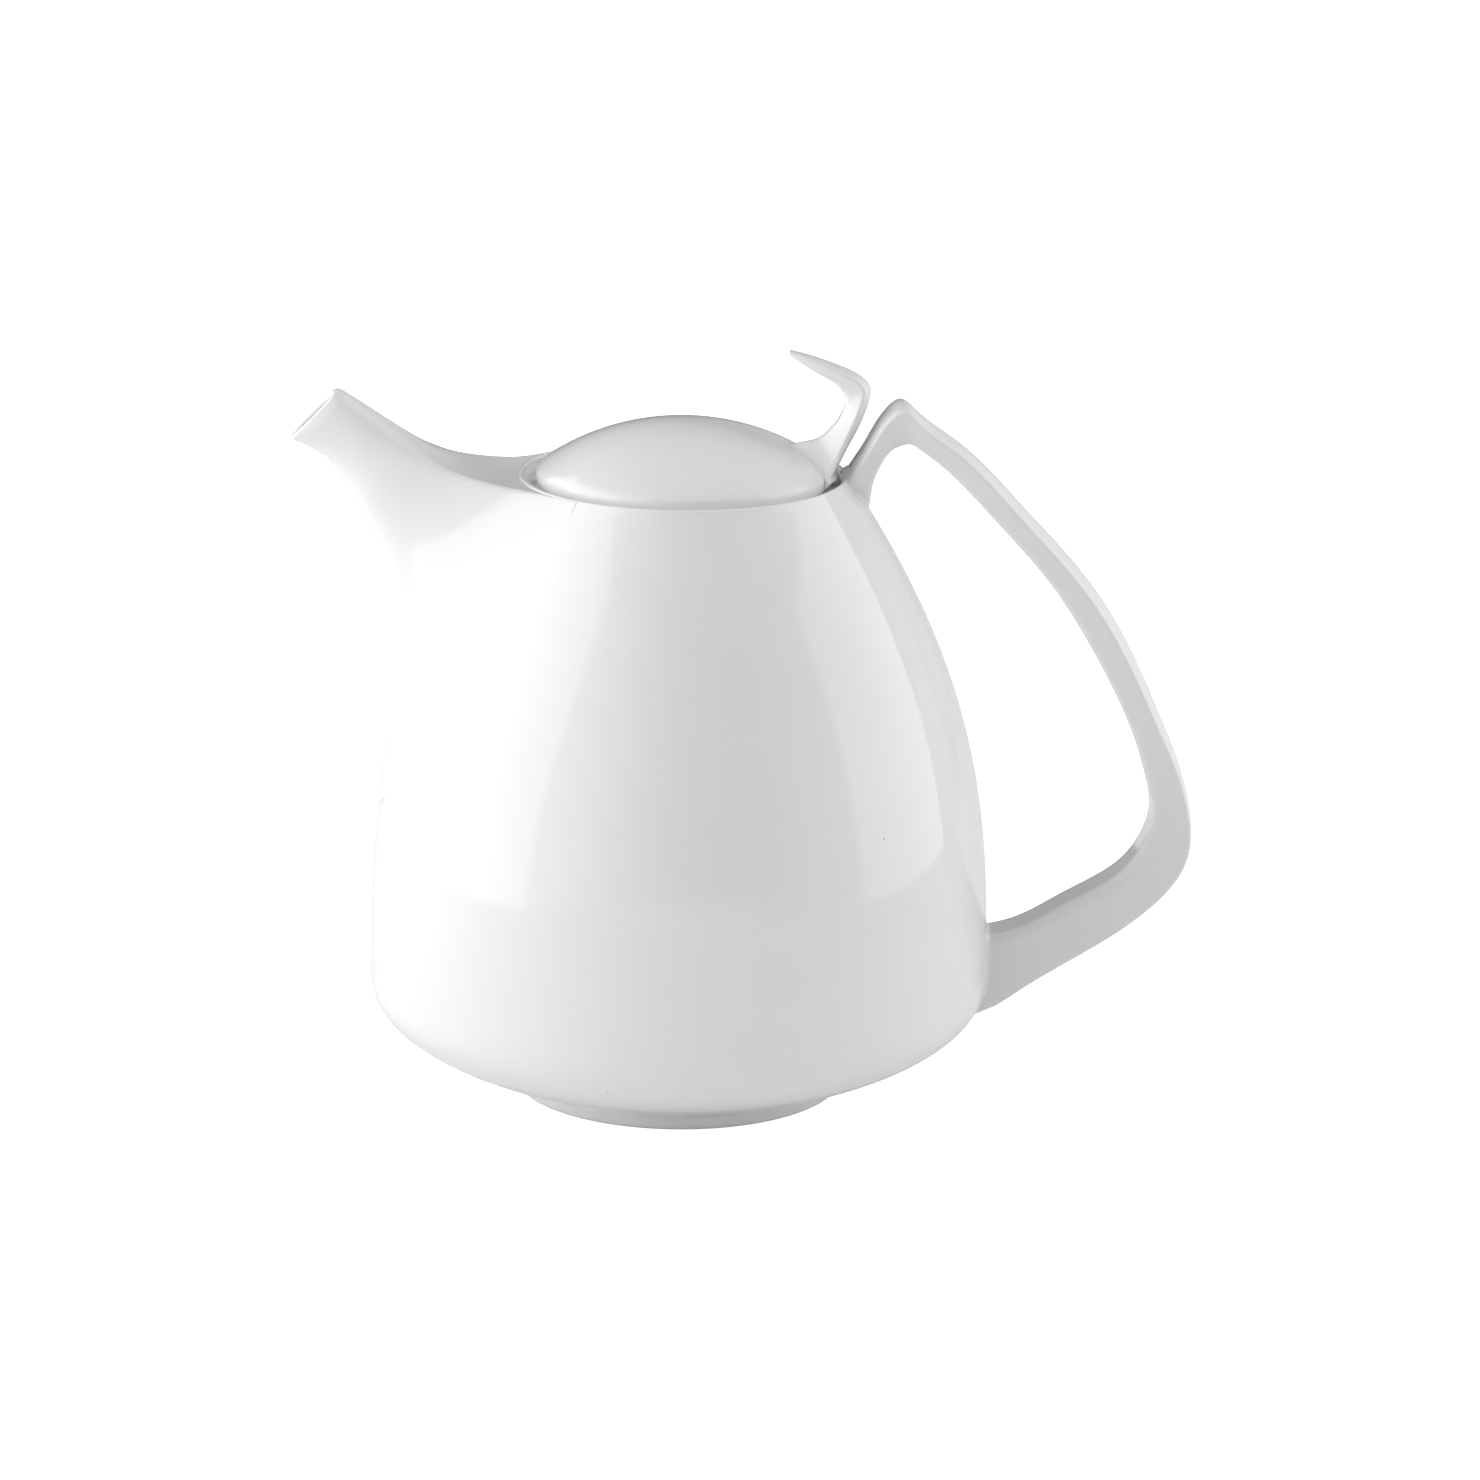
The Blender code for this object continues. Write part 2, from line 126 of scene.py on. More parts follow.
# Handle and grip: outer face x, z; inner side x, z; half widths outside and inside; crown of the outer face.
HANDLE = (
    (35.5, 147.0, 39.0, 138.0, 6.8, 6.0, 0.8),
    (38.9, 152.0, 44.6, 146.0, 6.9, 6.0, 0.9),
    (40.9, 155.3, 45.6, 151.6, 7.0, 6.0, 1.0),
    (44.6, 161.2, 48.6, 158.7, 7.0, 5.9, 1.0),
    (49.4, 168.9, 52.0, 161.6, 7.3, 5.7, 1.1),
    (52.8, 171.0, 54.5, 162.1, 7.5, 5.6, 1.2),
    (56.2, 168.4, 56.6, 161.0, 7.5, 5.5, 1.3),
    (65.5, 160.9, 62.2, 156.8, 7.5, 5.5, 1.4),
    (80.7, 145.7, 76.9, 141.8, 7.5, 5.5, 1.6),
    (94.8, 130.0, 90.2, 126.4, 7.6, 5.5, 1.8),
    (105.4, 114.8, 99.8, 111.4, 7.7, 5.6, 1.8),
    (116.9, 91.4, 110.8, 89.0, 7.8, 5.8, 1.5),
    (122.9, 77.0, 115.0, 75.4, 7.8, 6.0, 1.0),
    (125.2, 63.0, 115.2, 66.0, 7.8, 6.2, 0.8),
    (122.6, 54.4, 111.6, 58.6, 7.8, 6.3, 0.9),
    (113.0, 44.0, 104.6, 52.2, 7.8, 6.4, 1.0),
    (98.0, 33.8, 94.0, 46.2, 7.8, 6.5, 1.0),
    (84.0, 25.0, 83.2, 40.4, 7.8, 6.6, 1.0),
    (75.0, 19.4, 75.4, 38.4, 7.8, 6.7, 1.0),
    (66.0, 17.4, 67.0, 37.0, 7.8, 6.7, 1.0),
)
HANDLE_ROUNDING = (1.0, 2.2)  # of the outer and the inner corners
HANDLE_STEPS = 320
HANDLE_FILLET = 2.0
HANDLE_LOW_FILLET = 1.6
RIM_FILLET = 0.3  # where the handle meets the rim, above RIM_FILLET_Z
RIM_FILLET_Z = 151.0

# Lid
LID_RADIUS = 35.6
LID_TOP_Z = 167.0
LID_SHOULDER_Z = 155.4
LID_WALL = 3.0
LID_EDGE = (
    (34.85, 155.75),
    (35.3, 155.2),
    (35.55, 154.5),
    (35.6, 153.6),
    (35.5, 152.6),
    (35.2, 151.95),
    (34.8, 151.72),
    (34.0, 151.72),
    (32.8, 151.85),
    (31.0, 152.0),
    (28.9, 152.5),
)
FLANGE = (
    (30.4, 152.7),
    (30.2, 150.0),
    (30.2, 144.6),
    (30.5, 143.5),
    (31.1, 143.05),
    (32.0, 143.05),
    (32.5, 143.5),
    (32.75, 144.6),
    (32.8, 150.0),
    (33.0, 152.5),
)
GRIP = (
    (33.6, 152.6, 25.0, 159.2, 12.0, 1.0, 0.3),
    (34.9, 155.2, 27.5, 161.3, 11.2, 1.2, 1.3),
    (36.3, 158.4, 31.8, 162.5, 9.2, 1.6, 2.1),
    (38.3, 162.6, 35.4, 165.2, 7.2, 2.0, 2.2),
    (41.0, 168.2, 37.9, 168.7, 5.8, 2.2, 2.3),
    (42.6, 172.2, 38.9, 171.8, 5.2, 2.3, 2.2),
    (43.2, 175.2, 38.3, 174.2, 5.0, 2.3, 1.8),
    (41.2, 177.9, 36.4, 176.3, 5.2, 2.4, 1.2),
    (37.2, 179.9, 34.4, 177.6, 4.8, 2.2, 0.8),
    (31.6, 182.2, 30.6, 179.7, 3.5, 1.8, 0.5),
    (25.3, 184.2, 25.5, 183.0, 1.5, 0.8, 0.3),
)
GRIP_ROUNDING = (0.8, 1.6)
GRIP_STEPS = 130
GRIP_FILLET = 1.5

FOOT = (
    (37.4, 5.0),
    (36.6, 3.0),
    (36.4, 1.1),
    (36.7, 0.35),
    (37.3, 0.03),
    (38.4, 0.0),
    (39.6, 0.03),
    (40.4, 0.3),
    (40.8, 1.0),
    (41.05, 2.2),
    (41.2, 3.3),
    (41.0, 4.0),
    (40.6, 5.0),
)

ROUND_STEPS = 192

# Glaze
PINHOLE_SHARE = 0.014  # of a cell
PINHOLE_RARITY = 0.8  # the share of the cells that have none
RIPPLE_HEIGHT = 0.00004
PEEL_HEIGHT = 0.0000012
GLAZE_IOR = 1.52

# Studio. The sky's lobes: direction, where the lobe starts (cosine), level.
SKY = (
    ((-1.0, -0.2, 0.15), 0.25, 1.15),
    ((-0.7, -0.7, 0.3), 0.5, 0.15),
    ((1.0, 0.0, 0.1), 0.25, 0.70),
    ((0.8, 0.0, 0.7), 0.3, 0.30),
    ((0.55, 0.45, 0.7), 0.7, 0.40),
    ((0.38, 0.92, 0.0), 0.92, 0.55),
    ((0.0, 1.0, 0.1), 0.0, 0.06),
    ((-0.2, -0.4, 0.9), 0.6, 0.14),
    ((-0.8, -0.2, -0.6), 0.0, 0.17),
)
FLOOR_WIDTH = 1.0
FLOOR_DEPTH = 3.0
FLOOR_ALBEDO = 0.8
FLOOR_GLOW = 0.85
FLOOR_LIGHT = 0.10
PAPER_LEVEL = 1.05
LIGHTS_AIM_Z = 0.09
# The softboxes: place, size, radiance.
SOFTBOXES = (
    ("left_softbox", (-1.0, 0.1, 0.45), (1.8, 1.4), 1.20),
    ("right_softbox", (1.0, 0.05, 0.30), (1.0, 1.0), 1.0),
)

# Camera: degrees, metres and millimetres
CAMERA_AZIMUTH = -2.0
CAMERA_ELEVATION = 15.5
CAMERA_ROLL = -0.7
CAMERA_DISTANCE = 1.45
CAMERA_TARGET = ((AXIS_X + 14.5) * MM, 0.0, 0.087)
CAMERA_SENSOR = 36.0
CAMERA_LENS = 143.96


# ---------------------------------------------------------------- curves


def bezier(points, steps):
    """Points along a cubic Bezier curve."""
    p0, p1, p2, p3 = (np.array(p, float) for p in points)
    t = np.linspace(0.0, 1.0, steps + 1)[:, None]
    u = 1.0 - t
    return u**3 * p0 + 3 * u * u * t * p1 + 3 * u * t * t * p2 + t**3 * p3


def smooth_through(rows, share):
    """The row of values at a share (0 to 1) of the way along a smooth curve through the rows."""
    rows = np.array(rows, float)
    place = min(max(share, 0.0), 1.0) * (len(rows) - 1)
    i = min(int(place), len(rows) - 2)
    t = place - i
    before = rows[i - 1] if i > 0 else 2 * rows[i] - rows[i + 1]
    after = rows[i + 2] if i + 2 < len(rows) else 2 * rows[i + 1] - rows[i]
    start_slope = (rows[i + 1] - before) / 2
    end_slope = (after - rows[i]) / 2
    return (
        (2 * t**3 - 3 * t**2 + 1) * rows[i]
        + (t**3 - 2 * t**2 + t) * start_slope
        + (3 * t**2 - 2 * t**3) * rows[i + 1]
        + (t**3 - t**2) * end_slope
    )


def even_run(rows, steps):
    """Rows evenly spaced along a natural cubic spline through the given rows.

    The spacing is measured on each row's first four values, the two points of a strap's section.
    """
    rows = np.array(rows, float)
    gaps = np.linalg.norm(np.diff(rows[:, :4], axis=0), axis=1)
    rates = np.diff(rows, axis=0) / gaps[:, None]
    at = np.concatenate(([0.0], np.cumsum(gaps)))
    last = len(rows) - 1
    weights = np.zeros((last + 1, last + 1))
    sums = np.zeros_like(rows)
    weights[0, :2] = (2, 1)
    sums[0] = 3 * rates[0]
    weights[last, last - 1 :] = (1, 2)
    sums[last] = 3 * rates[-1]
    for i in range(1, last):
        weights[i, i - 1 : i + 2] = (gaps[i], 2 * (gaps[i] + gaps[i - 1]), gaps[i - 1])
        sums[i] = 3 * (gaps[i] * rates[i - 1] + gaps[i - 1] * rates[i])
    slopes = np.linalg.solve(weights, sums)
    run = []
    for s in np.linspace(0.0, at[-1], steps + 1):
        i = min(int(np.searchsorted(at, s, side="right")) - 1, len(gaps) - 1)
        t = (s - at[i]) / gaps[i]
        run.append(
            (2 * t**3 - 3 * t**2 + 1) * rows[i]
            + (t**3 - 2 * t**2 + t) * gaps[i] * slopes[i]
            + (3 * t**2 - 2 * t**3) * rows[i + 1]
            + (t**3 - t**2) * gaps[i] * slopes[i + 1]
        )
    return run


def curve_through(rows, steps):
    """Points along the smooth curve through the rows, the same number between each pair."""
    return [tuple(smooth_through(rows, k / steps)) for k in range(steps + 1)]


def offset_outline(points, distance):
    """The outline moved outwards by a distance, or inwards where it is negative."""
    along = np.gradient(points, axis=0)
    along /= np.linalg.norm(along, axis=1)[:, None]
    outwards = np.column_stack((along[:, 1], -along[:, 0]))
    return points + distance * outwards


def body_outline(under, bell):
    """The body's outline of (radius, z), in so many steps below and above the belly."""
    return np.vstack((bezier(UNDERSIDE, under), bezier(BELL, bell)[1:]))


OUTLINE = body_outline(200, 400)


def body_radius(z):
    return np.interp(z, OUTLINE[:, 1], OUTLINE[:, 0])


def wall_radius(z):
    """body_radius, with the height held below the rim's rounding."""
    return float(body_radius(min(z, WALL_TOP_Z)))


def body_slope(z):
    """How fast the body's radius grows with height."""
    return (body_radius(z + 0.2) - body_radius(z - 0.2)) / 0.4


# ---------------------------------------------------------------- meshes


def place(point):
    """From millimetres about the body's axis to metres in the shared frame."""
    return ((point[0] + AXIS_X) * MM, point[1] * MM, point[2] * MM)


def add_object(name, bm, finishes, sharp_degrees=40.0):
    bmesh.ops.recalc_face_normals(bm, faces=bm.faces)
    mesh = bpy.data.meshes.new(name)
    bm.to_mesh(mesh)
    bm.free()
    for finish in finishes:
        mesh.materials.append(finish)
    mesh.shade_smooth()
    mesh.set_sharp_from_angle(angle=math.radians(sharp_degrees))
    made = bpy.data.objects.new(name, mesh)
    bpy.context.collection.objects.link(made)
    return made


def turned(profile, steps=ROUND_STEPS):
    """A solid turned about the body's axis from a profile of (radius, z), closed or ending on the axis."""
    bm = bmesh.new()
    angles = [2 * math.pi * (k + 0.5) / steps for k in range(steps)]
    rings = []
    for r, z in profile:
        if r < 1e-6:
            rings.append([bm.verts.new(place((0.0, 0.0, z)))])
        else:
            rings.append([bm.verts.new(place((r * math.cos(a), r * math.sin(a), z))) for a in angles])
    pairs = list(zip(rings, rings[1:]))
    if len(rings[0]) > 1:
        pairs.append((rings[-1], rings[0]))
    for low, high in pairs:
        for i in range(steps):
            j = (i + 1) % steps
            corners = (low[i % len(low)], low[j % len(low)], high[j % len(high)], high[i % len(high)])
            bm.faces.new(list(dict.fromkeys(corners)))
    return bm


def skin(bm, loops, cap_start, cap_end):
    """Quads over closed loops of the same length, with optional end caps."""
    rings = [[bm.verts.new(place(point)) for point in loop] for loop in loops]
    count = len(rings[0])
    for ring, following in zip(rings, rings[1:]):
        for i in range(count):
            j = (i + 1) % count
            bm.faces.new((ring[i], ring[j], following[j], following[i]))
    if cap_start:
        bm.faces.new(rings[0])
    if cap_end:
        bm.faces.new(rings[-1])


# ---------------------------------------------------------------- materials


def node(tree, kind, **inputs):
    """A new node with some inputs set; an underscore stands for a space in an input's name."""
    made = tree.nodes.new(kind)
    for name, value in inputs.items():
        made.inputs[name.replace("_", " ")].default_value = value
    return made


def glaze_material(name, foot=False):
    """Clear glaze over white porcelain: faint ripple, orange peel, uneven thickness and a few pinholes."""
    made = bpy.data.materials.new(name)
    made.use_nodes = True
    tree = made.node_tree
    link = tree.links.new
    shader = tree.nodes["Principled BSDF"]
    where = tree.nodes.new("ShaderNodeTexCoord").outputs["Object"]

    cloud = node(tree, "ShaderNodeTexNoise", Scale=22.0, Detail=3.0, Roughness=0.5)
    link(where, cloud.inputs["Vector"])
    tint = tree.nodes.new("ShaderNodeValToRGB")
    tint.color_ramp.elements[0].position = 0.3
    tint.color_ramp.elements[0].color = (0.855, 0.857, 0.855, 1.0)
    tint.color_ramp.elements[1].position = 0.7
    tint.color_ramp.elements[1].color = (0.885, 0.884, 0.880, 1.0)
    link(cloud.outputs["Fac"], tint.inputs["Fac"])

    cells = node(tree, "ShaderNodeTexVoronoi", Scale=60.0, Randomness=1.0)
    link(where, cells.inputs["Vector"])
    dot = tree.nodes.new("ShaderNodeMath")
    dot.operation = "LESS_THAN"
    dot.inputs[1].default_value = PINHOLE_SHARE
    link(cells.outputs["Distance"], dot.inputs[0])
    rare = tree.nodes.new("ShaderNodeSeparateColor")
    link(cells.outputs["Color"], rare.inputs["Color"])
    chosen = tree.nodes.new("ShaderNodeMath")
    chosen.operation = "GREATER_THAN"
    chosen.inputs[1].default_value = PINHOLE_RARITY
    link(rare.outputs["Red"], chosen.inputs[0])
    speck = tree.nodes.new("ShaderNodeMath")
    speck.operation = "MULTIPLY"
    link(dot.outputs[0], speck.inputs[0])
    link(chosen.outputs[0], speck.inputs[1])
    speckled = tree.nodes.new("ShaderNodeMix")
    speckled.data_type = "RGBA"
    link(speck.outputs[0], speckled.inputs["Factor"])
    link(tint.outputs["Color"], speckled.inputs["A"])
    speckled.inputs["B"].default_value = (0.30, 0.28, 0.26, 1.0)
    colour = speckled.outputs["Result"]

    fine = node(tree, "ShaderNodeTexNoise", Scale=160.0, Detail=4.0, Roughness=0.6)
    link(where, fine.inputs["Vector"])
    gloss = node(tree, "ShaderNodeMapRange", From_Min=0.3, From_Max=0.7, To_Min=0.05, To_Max=0.10)
    link(fine.outputs["Fac"], gloss.inputs["Value"])
    roughness = gloss.outputs["Result"]

    ripple = node(tree, "ShaderNodeBump", Strength=1.0, Distance=RIPPLE_HEIGHT)
    link(cloud.outputs["Fac"], ripple.inputs["Height"])
    peel = node(tree, "ShaderNodeTexNoise", Scale=700.0, Detail=2.0, Roughness=0.5)
    link(where, peel.inputs["Vector"])
    skin_bump = node(tree, "ShaderNodeBump", Strength=1.0, Distance=PEEL_HEIGHT)
    link(peel.outputs["Fac"], skin_bump.inputs["Height"])
    link(ripple.outputs["Normal"], skin_bump.inputs["Normal"])

    if foot:
        # The last half millimetre of the foot is wiped clean of glaze and ground smooth.
        split = tree.nodes.new("ShaderNodeSeparateXYZ")
        link(where, split.inputs["Vector"])
        bare = node(tree, "ShaderNodeMapRange", From_Min=0.0009, From_Max=0.0005)
        link(split.outputs["Z"], bare.inputs["Value"])
        grit = node(tree, "ShaderNodeTexNoise", Scale=1500.0, Detail=5.0, Roughness=0.7)
        link(where, grit.inputs["Vector"])
        bisque = tree.nodes.new("ShaderNodeValToRGB")
        bisque.color_ramp.elements[0].color = (0.62, 0.60, 0.57, 1.0)
        bisque.color_ramp.elements[1].color = (0.83, 0.81, 0.77, 1.0)
        link(grit.outputs["Fac"], bisque.inputs["Fac"])
        mixed = tree.nodes.new("ShaderNodeMix")
        mixed.data_type = "RGBA"
        link(bare.outputs["Result"], mixed.inputs["Factor"])
        link(colour, mixed.inputs["A"])
        link(bisque.outputs["Color"], mixed.inputs["B"])
        colour = mixed.outputs["Result"]
        dull = node(tree, "ShaderNodeMapRange", To_Min=0.08, To_Max=0.6)
        link(bare.outputs["Result"], dull.inputs["Value"])
        roughness = dull.outputs["Result"]

    link(colour, shader.inputs["Base Color"])
    link(roughness, shader.inputs["Roughness"])
    link(skin_bump.outputs["Normal"], shader.inputs["Normal"])
    shader.inputs["IOR"].default_value = GLAZE_IOR
    shader.inputs["Metallic"].default_value = 0.0
    return made


# ---------------------------------------------------------------- body


def make_body(glaze):
    """The hollow body in one turned piece, with the strainer cut through its wall."""
    outside = body_outline(40, 90)
    inside = offset_outline(outside[::2], -WALL)[::-1]
    kept = [tuple(p) for p in inside if FLOOR_Z + 1.2 < p[1] < RIM[-1][1] - 1.5]
    profile = [(0.0, BASE_Z)] + [tuple(p) for p in outside] + curve_through(RIM, 48) + kept
    profile += [(BASE_RADIUS - 2.0, FLOOR_Z + 0.3), (BASE_RADIUS - 6.0, FLOOR_Z), (0.0, FLOOR_Z)]
    body = add_object("body_visual", turned(profile), [glaze])
    pins = strainer_pins()
    cut = body.modifiers.new("strainer", "BOOLEAN")
    cut.object = pins
    cut.solver = "EXACT"
    apply_modifiers(body)
    bpy.data.objects.remove(pins, do_unlink=True)
    return body


def strainer_pins():
    """The round rods that the strainer's holes are cut with."""
    places = [(0.0, 0.0)]
    for degrees in range(0, 360, 60):
        a = math.radians(degrees)
        places.append((STRAINER_PITCH * math.cos(a), STRAINER_PITCH * math.sin(a)))
    turn = [2 * math.pi * k / STRAINER_SIDES for k in range(STRAINER_SIDES)]
    bm = bmesh.new()
    for y, up in places:
        ring = [
            (y + STRAINER_RADIUS * math.cos(t), STRAINER_Z + up + STRAINER_RADIUS * math.sin(t))
            for t in turn
        ]
        skin(bm, [[(x, *point) for point in ring] for x in STRAINER_REACH], True, True)
    return add_object("strainer_pins", bm, [])


def apply_modifiers(obj):
    """Turn an object's modifiers into plain mesh."""
    shape = obj.evaluated_get(bpy.context.evaluated_depsgraph_get())
    baked = bpy.data.meshes.new_from_object(shape)
    old = obj.data
    obj.modifiers.clear()
    obj.data = baked
    bpy.data.meshes.remove(old)


# ---------------------------------------------------------------- spout


def soft_max(height, reach):
    """The larger of height and 0, with a smooth change over the reach."""
    overlap = max(reach - abs(height), 0.0)
    return max(height, 0.0) + overlap * overlap / (4.0 * reach)


def settle_on_body(point, reach, sink):
    """Pull a point that is close to the body's surface, or inside it, smoothly onto that surface."""
    x, y, z = point
    radius = math.hypot(x, y)
    limit = wall_radius(z)
    height = radius - limit
    if height > reach or z > RIM_Z - 0.3:
        return point
    wanted = limit + soft_max(height, reach) - sink * (1.0 if height < -reach else 0.0)
    return np.array((x * wanted / radius, y * wanted / radius, z))


def rounded_corner(before, corner, after, radius, count):
    """Points that round off a corner between two directions."""
    start = corner + (before - corner) / np.linalg.norm(before - corner) * radius
    end = corner + (after - corner) / np.linalg.norm(after - corner) * radius
    points = []
    for k in range(count):
        t = k / (count - 1)
        points.append((1 - t) ** 2 * start + 2 * t * (1 - t) * corner + t * t * end)
    return points


def spout_loop(row, grow, edge_radius, lute):
    """One closed section. With lute, it starts on the crease and closes inside the body's wall."""
    top = np.array((row[0], 0.0, row[1]))
    keel = np.array((row[3], 0.0, row[4]))
    wide, shoulder, low = row[2] + grow, row[5] + grow, row[6] + 0.6 * grow
    crown, bulge = row[7], row[8]
    depth = np.linalg.norm(keel - top) + 2 * grow
    downwards = (keel - top) / np.linalg.norm(keel - top)
    start = top - downwards * grow
    sideways = np.array((0.0, 1.0, 0.0))
    side = bezier(((0.0, wide), (SHOULDER_SHARE, shoulder), (1.0, low), (1.0, 0.0)), 26)
    half = [start + downwards * share * depth + sideways * y for share, y in side]
    corner = half[0]
    slope = (wide - shoulder) / (SHOULDER_SHARE * depth)
    across = []
    if lute > 0.0:
        edge = [corner - (downwards - sideways * slope) * lute * k / 6 for k in range(1, 7)][::-1]
        depth_in_wall = 1.5 if grow == 0.0 else 0.6
        last = edge[0]
        reach = abs(last[1])
        inner = wall_radius(last[2]) - depth_in_wall
        for k in range(ACROSS_POINTS, 0, -1):
            y = reach * (1 - 2 * k / (ACROSS_POINTS + 1)) * 0.97
            across.append(np.array((-math.sqrt(inner**2 - y**2), y, last[2])))
        body = edge + half[1:]
    else:
        # Cross the top from -Y to +Y, so that the loop closes back at the first corner.
        for k in range(1, ACROSS_POINTS + 1):
            u = -1 + 2 * k / (ACROSS_POINTS + 1)
            lift = 1 - u * u
            raised = start - downwards * crown * lift - np.array((bulge * lift, 0.0, 0.0))
            across.append(raised + sideways * wide * u)
        edge = rounded_corner(across[-1], corner, half[2], edge_radius, 6)
        body = edge + [0.5 * (edge[-1] + half[2])] + half[2:]
    mirrored = [p * np.array((1.0, -1.0, 1.0)) for p in body[:-1]][::-1]
    return body + mirrored + across


def seat_on_crease(row):
    """Move a section's start onto the body's surface."""
    row[0] = -math.sqrt(max(wall_radius(row[1]) ** 2 - row[2] ** 2, 0.0))


def make_spout(glaze):
    """The hollow spout in one skin: outside, lip and bore."""
    loops = []
    top_steps, side_steps = 56, 56
    for k in range(top_steps):
        share = k / top_steps
        row = smooth_through(SPOUT_TOP, share)
        fade = min(1.0, (1.0 - share) / 0.12)
        loops.append(spout_loop(row, 0.0, 0.2 + 1.1 * fade * min(1.0, 0.35 + share * 4), 0.0))
    for k in range(side_steps + 1):
        share = (k / side_steps) ** 1.1
        row = smooth_through(SPOUT_SIDE, share)
        seat_on_crease(row)
        loops.append(spout_loop(row, 0.0, 0.0, 0.2 + 5.5 * min(1.0, share / 0.08)))
    outer = []
    for loop in loops:
        seen, hidden = loop[:-ACROSS_POINTS], loop[-ACROSS_POINTS:]
        outer.append([settle_on_body(p, CREASE_SOFTNESS, 0.05) for p in seen] + hidden)

    # The lip rolls over from the outside to the bore.
    normal = np.array(MOUTH_NORMAL)
    mouth = smooth_through(SPOUT_TOP, 0.0)
    roll = LIP_WALL / 2
    lip = []
    for k in range(9):
        a = math.pi * k / 8
        loop = spout_loop(mouth, -roll * (1 - math.cos(a)), BORE_EDGE_ROUNDING, 0.0)
        lip.append([p + normal * roll * (math.sin(a) - 1.0) for p in loop])
    bore = []
    bore_steps = 44
    for k in range(1, bore_steps + 1):
        share = k / bore_steps
        wall = LIP_WALL + (SPOUT_WALL - LIP_WALL) * min(1.0, share * 5)
        if share < BORE_TOP_SHARE:
            row = smooth_through(SPOUT_TOP, share / BORE_TOP_SHARE)
            bore.append(spout_loop(row, -wall, BORE_EDGE_ROUNDING, 0.0))
        else:
            along = (share - BORE_TOP_SHARE) / (1 - BORE_TOP_SHARE)
            row = smooth_through(SPOUT_SIDE, along * BORE_SIDE_DEPTH)
            seat_on_crease(row)
            bore.append(spout_loop(row, -wall, 0.0, 3.0))
    bm = bmesh.new()
    skin(bm, outer[:0:-1] + lip + bore, True, True)
    return add_object("spout_visual", bm, [glaze])


# ---------------------------------------------------------------- straps


def strap_loop(row, outer_round, inner_round):
    """A strap's section: crowned outer face, sides that draw in, all corners rounded."""
    outer = np.array((row[0], 0.0, row[1]))
    inner = np.array((row[2], 0.0, row[3]))
    wide, narrow, crown = row[4:7]
    depth = np.linalg.norm(inner - outer)
    inwards = (inner - outer) / depth
    outer_round = min(outer_round, 0.45 * depth, 0.45 * wide)
    inner_round = min(inner_round, 0.45 * depth, 0.9 * narrow)

    def at(y, d):
        return np.array((y, d))

    crest = [at(wide * u, -crown * (1 - u * u)) for u in np.linspace(0.0, 1.0, 9)]
    corner_out = crest[-1]
    corner_in = at(narrow, depth)
    first = rounded_corner(crest[-2], corner_out, corner_in, outer_round, 6)
    second = rounded_corner(corner_out, corner_in, at(0.0, depth), inner_round, 8)
    near = [p for p in crest[:-1] if p[0] < first[0][0] - 0.02 * wide]
    while len(near) < 8:
        near.append(near[-1] + (first[0] - near[-1]) * 0.5)
    sides = [first[-1] + (second[0] - first[-1]) * s for s in (0.25, 0.5, 0.75)]
    last = [second[-1] + (at(0.0, depth) - second[-1]) * s for s in (0.34, 0.67, 1.0)]
    half = near + first + sides + second + last
    full = half + [p * np.array((-1.0, 1.0)) for p in half[-2:0:-1]]
    return [outer + inwards * d + np.array((0.0, y, 0.0)) for y, d in full]


def body_height(point):
    """How far a point stands out from the body, measured along its radius."""
    return math.hypot(point[0], point[1]) - wall_radius(point[2])


def body_normal(point):
    slope = float(body_slope(min(point[2], RIM_Z - 1.0)))
    radius = math.hypot(point[0], point[1])
    normal = np.array((point[0] / radius, point[1] / radius, -slope))
    return normal / np.linalg.norm(normal)


def lid_sphere():
    """The dome's radius and the height of its centre."""
    rise = LID_TOP_Z - LID_SHOULDER_Z
    sphere = (LID_RADIUS**2 + rise**2) / (2 * rise)
    return sphere, LID_TOP_Z - sphere


def lid_height(point):
    sphere, centre = lid_sphere()
    return np.linalg.norm(point - np.array((0.0, 0.0, centre))) - sphere


def lid_normal(point):
    _, centre = lid_sphere()
    away = point - np.array((0.0, 0.0, centre))
    return away / np.linalg.norm(away)


def fillet_root(loops, height, normal, radius, steps=7):
    """Cut a strap's loops off where they enter a surface, and roll each line out onto it with a fillet.

    height(point) is the distance above the surface, normal(point) its normal, radius(point) the fillet's.
    """
    count = len(loops[0])
    centre_of = [sum(loop) / count for loop in loops]
    rings = [[None] * count for _ in range(steps + 1)]
    first_free = 0
    for i in range(count):
        line = [loop[i] for loop in loops]
        k = 0
        while height(line[k + 1]) < 0.0 and k < len(line) - 2:
            k += 1
        a, b = height(line[k]), height(line[k + 1])
        t = min(max(-a / (b - a), 0.0), 1.0)
        hit = line[k] + (line[k + 1] - line[k]) * t
        along = line[k + 1] - line[k]
        along = along / np.linalg.norm(along)
        up = normal(hit)
        middle = centre_of[k] + (centre_of[k + 1] - centre_of[k]) * t
        out = hit - middle
        out = out - along * np.dot(out, along)
        out = out / np.linalg.norm(out)
        flat = out - up * np.dot(out, up)
        flat = flat / max(np.linalg.norm(flat), 1e-6)
        r = radius(hit)
        for s in range(steps + 1):
            a = math.pi / 2 * s / steps
            rings[s][i] = hit + along * r * (1 - math.cos(a)) + flat * r * (1 - math.sin(a))
        rings[0][i] = rings[0][i] - up * 0.06
        free = 0
        while np.dot(line[free] - hit, along) < r * 1.05 and free < len(line) - 1:
            free += 1
        first_free = max(first_free, free)
    buried = [p - normal(p) * 1.5 for p in rings[0]]
    return [buried] + rings + loops[first_free:]


